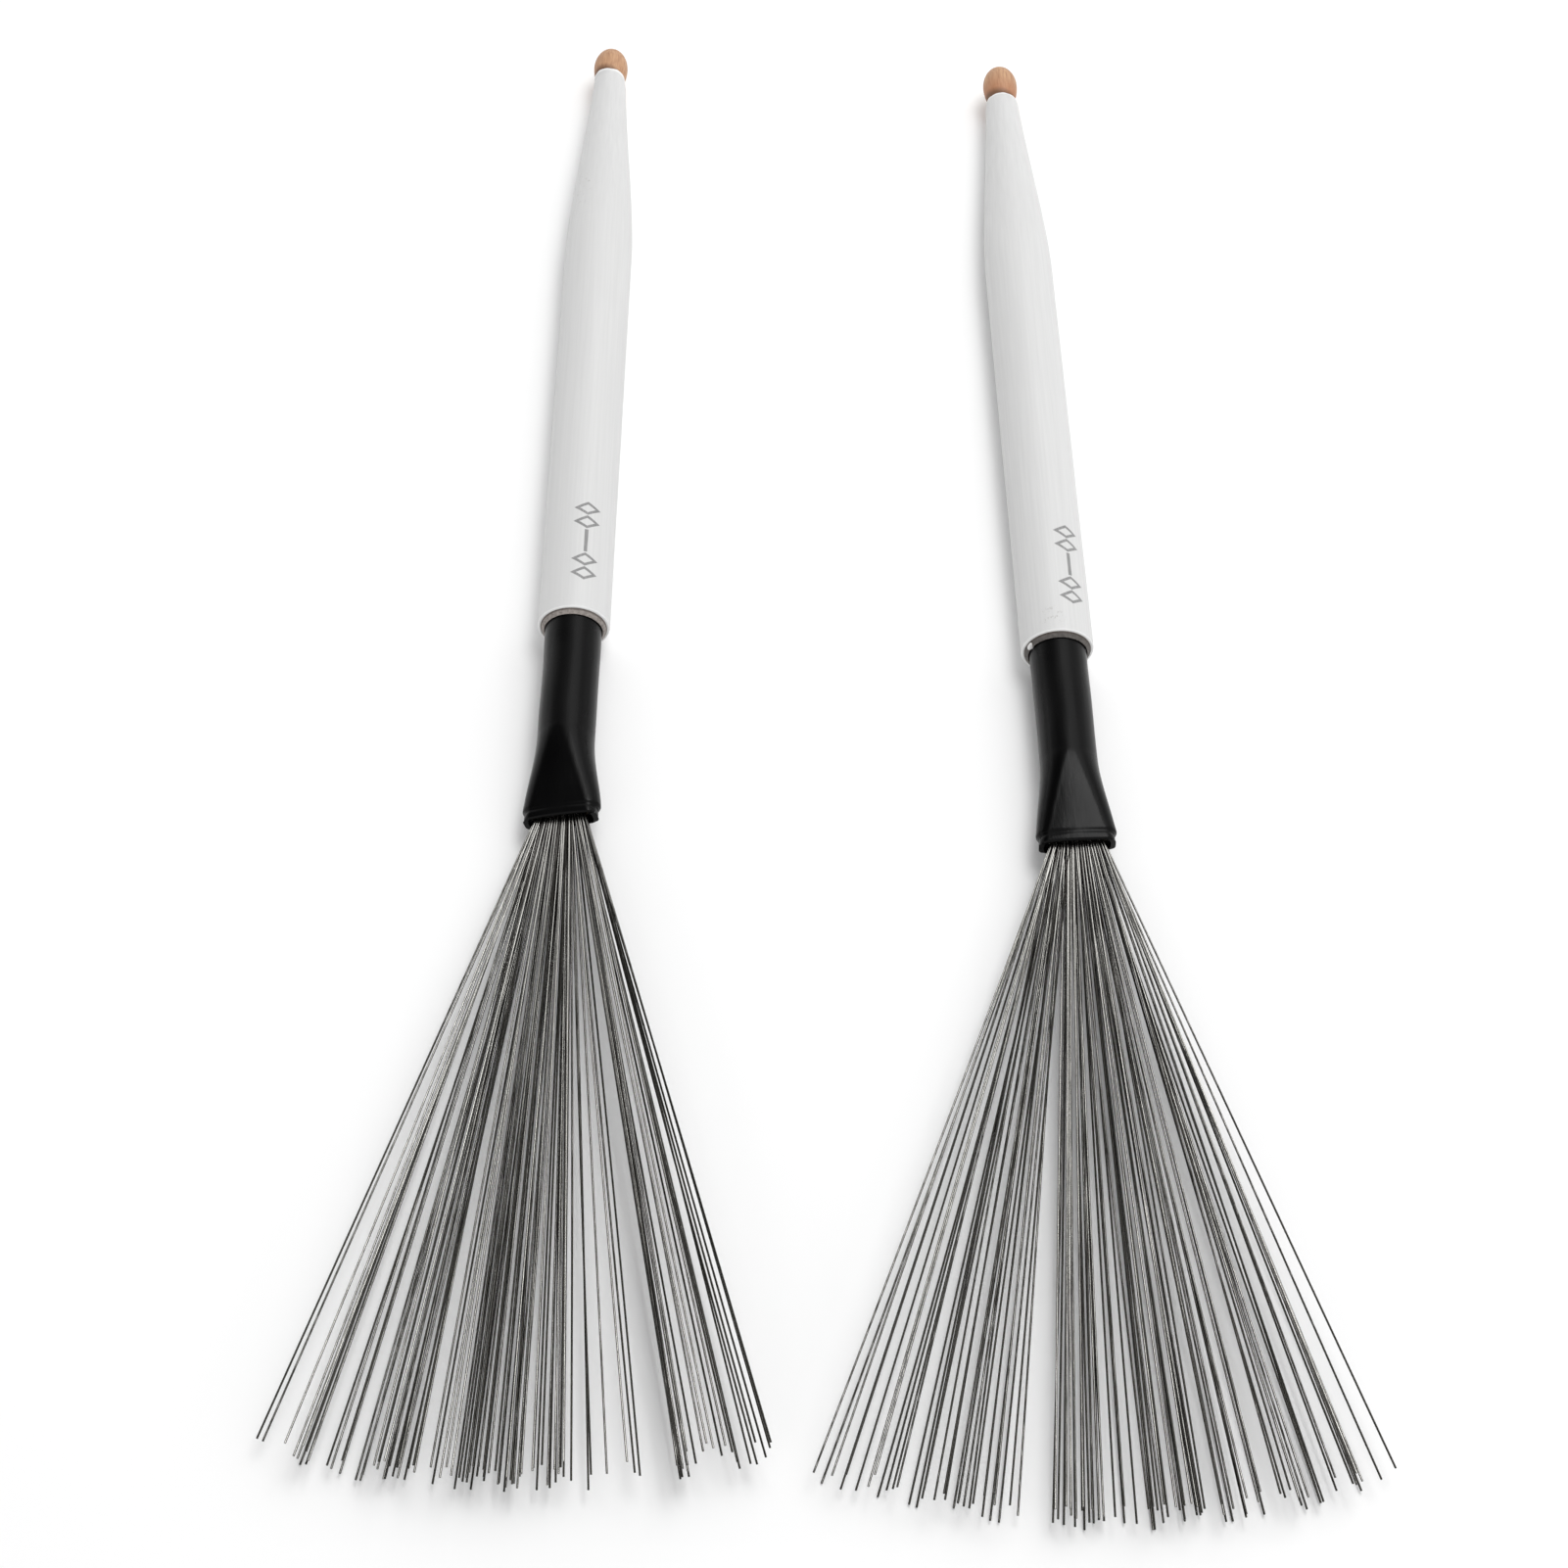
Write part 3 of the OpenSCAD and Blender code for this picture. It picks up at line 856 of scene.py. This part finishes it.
def wire_plans(side, dice):
    """For each layer, a list of (root x, root z, angle, rise, length) for its wires."""
    angles = fan_angles(side, dice)
    order = np.argsort(np.arange(len(angles)) + dice.normal(0, SHUFFLE, len(angles)))
    plans = [[] for _ in range(LAYERS)]
    half_row = ROOT_PITCH_X * (PER_LAYER - 0.5) / 2
    for column in range(PER_LAYER):
        for place, layer in enumerate(dice.permutation(LAYERS)):
            angle = angles[order[column * LAYERS + place]]
            stagger = 0.5 * ((layer + 1) % 2)
            root_x = ((column + stagger) / (PER_LAYER - 0.5) * 2 - 1) * half_row
            height = layer - (LAYERS - 1) / 2
            rise = height * LAYER_RISE - FAN_DROOP[side] + dice.normal(0, RISE_SCATTER)
            wavy = TRIM_WAVE * (1 + math.sin(1.1 * angle + SEED[side]))
            length = WIRE_L - TIP_ROOM - wavy - TRIM_SCATTER * dice.random() ** 1.6
            plans[layer].append((root_x, height * ROOT_PITCH_Z, angle, rise, length))
    return plans


def wire_rings(side, plan, dice, bend):
    """Rings of one wire, in the brush's frame: nearly straight, with a slight bow."""
    root_x, root_z, tip_angle, rise, length = plan
    to_brush = np.array(PLACE[side].inverted_safe())
    # the fan spreads level over the table, whichever way the brush is rolled
    long = Vector(PLACE[side].col[1][:3]).normalized()
    flat = Matrix((Vector((long.y, -long.x, 0)), long, Vector((0, 0, 1)))).transposed()
    # the wire aims so that its tip lies in the wanted direction from the pivot, wherever its root is
    a, r = math.asin(math.sin(math.radians(tip_angle)) - root_x / length), math.radians(rise)
    aim = Vector((math.sin(a) * math.cos(r), -math.cos(a) * math.cos(r), math.sin(r)))
    roll = math.radians(FAN_ROLL[side])
    rolled_x = aim.x * math.cos(roll) + aim.z * math.sin(roll)
    rolled_z = aim.z * math.cos(roll) - aim.x * math.sin(roll)
    aim = to_brush[:3, :3] @ np.array(flat @ Vector((rolled_x, aim.y, rolled_z)))
    aim /= np.linalg.norm(aim)
    sideways = np.cross([0, 0, 1], aim)
    sideways /= np.linalg.norm(sideways)
    upward = np.cross(aim, sideways)
    root = np.array([root_x, -ROOT_S, root_z])
    bow_side, bow_up, curl = bend * dice.normal(0, 1, 3)
    # the points are closer together near the root
    steps = np.concatenate([[0, 0.015, 0.05], np.linspace(0.1, 1, 13)])
    centre = root + np.outer(steps * length, aim)
    centre += np.outer(bow_side * np.sin(np.pi * steps) + curl * steps ** 3, sideways)
    centre += np.outer(bow_up * np.sin(np.pi * steps), upward)
    # no wire goes below the surface that the pair lies on
    matrix = np.array(PLACE[side])
    floor_gap = centre @ matrix[2, :3] + matrix[2, 3] - TABLE_GAP * MM
    centre += np.outer(np.maximum(0, -floor_gap) / MM, to_brush[:3, 2] * MM)
    turns = np.linspace(0, 2 * np.pi, WIRE_SIDES, endpoint=False)
    circle = np.outer(np.cos(turns), sideways) + np.outer(np.sin(turns), upward)
    rings = [centre[:1]]
    rings += [c + WIRE_R * circle for c in centre]
    # a blunt tip
    rings += [centre[-1] + 0.04 * aim + 0.7 * WIRE_R * circle, centre[-1:] + 0.05 * aim]
    return rings


def build_wire_layer(side, name, node, plans, dice, bend, lift):
    """One piece of wires. Each keeps its tone, and each point how far up the wire's round it is."""
    points, faces, tones, count = [], [], [], 0
    for plan in plans:
        wire_points, wire_faces = skin(wire_rings(side, plan, dice, bend))
        points.append(wire_points)
        faces += [[i + count for i in face] for face in wire_faces]
        tones.append(np.full(len(wire_points), BRIGHTEST + lift - dice.exponential(TONE_SPREAD)))
        count += len(wire_points)
    ring_tops = np.sin(np.linspace(0, 2 * np.pi, WIRE_SIDES, endpoint=False))
    tops = np.concatenate([[0], np.tile(ring_tops, (len(points[0]) - 2) // WIRE_SIDES), [0]])
    extra = {"tone": np.concatenate(tones), "top": np.tile(tops, len(points))}
    look = WIRE_LOOKS[side]
    piece = make_piece(name, side, np.concatenate(points), faces, look, 50, extra)
    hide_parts(node)
    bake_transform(piece)


WIRE_LOOKS = {side: spring_wire(side) for side in SIDES}


def build_wires(side):
    """The fan's layers from the lowest up, and then its stray wires."""
    dice = np.random.default_rng(SEED[side])
    for layer, plans in enumerate(wire_plans(side, dice), 1):
        name, node = f"{side}_wires_{layer}", f"{side}_wire_layer_{layer}"
        # lower layers get darker tones: painted shade
        build_wire_layer(side, name, node, plans, dice, WIRE_BEND, LAYER_SHADE_STEP * (layer - LAYERS))
    length = WIRE_L - STRAY_SHORTER
    strays = [(x, z, angle, -FAN_DROOP[side], length) for x, z, angle in STRAYS[side]]
    build_wire_layer(side, side + "_strays", STRAY_NODE[side], strays, dice, STRAY_BEND, STRAY_LIFT)


# ---------------------------------------------------------------- the pair

tube_look = steel_tube()
resin_look = resin()
for side in SIDES:
    build_wood(side)
    build_lacquer(side)
    build_collar(side)
    build_sleeve(side)
    build_wires(side)
    for node, look in (("flattened_tube", tube_look), ("root_plug", resin_look)):
        cad_mesh = frame["nodes"][f"{side}_{node}"].data
        cad_mesh.materials.clear()
        cad_mesh.materials.append(look)
build_glue_drop()


# ---------------------------------------------------------------- floor, light and camera

def build_floor():
    """The white surface that the pair lies on."""
    mesh = bpy.data.meshes.new("floor")
    half = FLOOR_HALF
    corners = [(-half, -half, 0), (half, -half, 0), (half, half, 0), (-half, half, 0)]
    mesh.from_pydata(corners, [], [(0, 1, 2, 3)])
    mesh.materials.append(pale_floor())
    floor = bpy.data.objects.new("floor", mesh)
    bpy.context.scene.collection.objects.link(floor)


def build_world():
    """A white room, brighter towards the left wall, with a dark opening high on the left."""
    world = bpy.data.worlds.new("studio")
    world.use_nodes = True
    background = world.node_tree.nodes["Background"]
    background.inputs["Color"].default_value = WHITE
    tree = world.node_tree
    toward = add_node(tree, "ShaderNodeTexCoord").outputs["Generated"]
    axes = axes_of(tree, toward)
    level = between(tree, axes["X"], -0.9, 0.2, LEFT_BOOST * WORLD_STRENGTH, WORLD_STRENGTH)
    inputs = {0: toward, 1: DARK_SIDE}
    to_dark = add_node(tree, "ShaderNodeVectorMath", inputs, operation="DOT_PRODUCT").outputs["Value"]
    opening = between(tree, to_dark, DARK_EDGE, DARK_MIDDLE, 1, DARK_LEVEL)
    level = calc(tree, "MULTIPLY", level, opening)
    # the walls' foot is as white as the floor, so no horizon shows from low down
    wall_foot = between(tree, axes["Z"], 0.12, 0.4, WALL_FOOT_LEVEL, 0)
    level = calc(tree, "MAXIMUM", level, wall_foot)
    tree.links.new(level, background.inputs["Strength"])
    bpy.context.scene.world = world


def add_softbox(name, place, size, power):
    """A rectangular lamp that faces the middle of the scene."""
    light = bpy.data.lights.new(name, "AREA")
    light.shape = "RECTANGLE"
    light.size, light.size_y = size
    light.energy = power
    lamp = bpy.data.objects.new(name, light)
    bpy.context.scene.collection.objects.link(lamp)
    lamp.location = place
    lamp.rotation_euler = (-Vector(place)).to_track_quat("-Z", "Y").to_euler()


def build_camera():
    """A camera over the wires' side of the pair that looks down along the brushes."""
    butts = (PLACE["left"].translation + PLACE["right"].translation) / 2
    camera = bpy.data.objects.new("camera", bpy.data.cameras.new("camera"))
    bpy.context.scene.collection.objects.link(camera)
    camera.location = butts + Vector(CAMERA_FROM_BUTTS) * MM
    camera.rotation_euler = (math.radians(CAMERA_TILT), 0, 0)
    camera.data.lens = CAMERA_LENS
    camera.data.sensor_width = CAMERA_SENSOR
    camera.data.clip_start = 0.01
    camera.data.clip_end = 50
    bpy.context.scene.camera = camera


build_floor()
build_world()
for name, place, size, power in SOFTBOXES:
    add_softbox(name, place, size, power)
build_camera()
bpy.context.scene.view_settings.view_transform = "Standard"
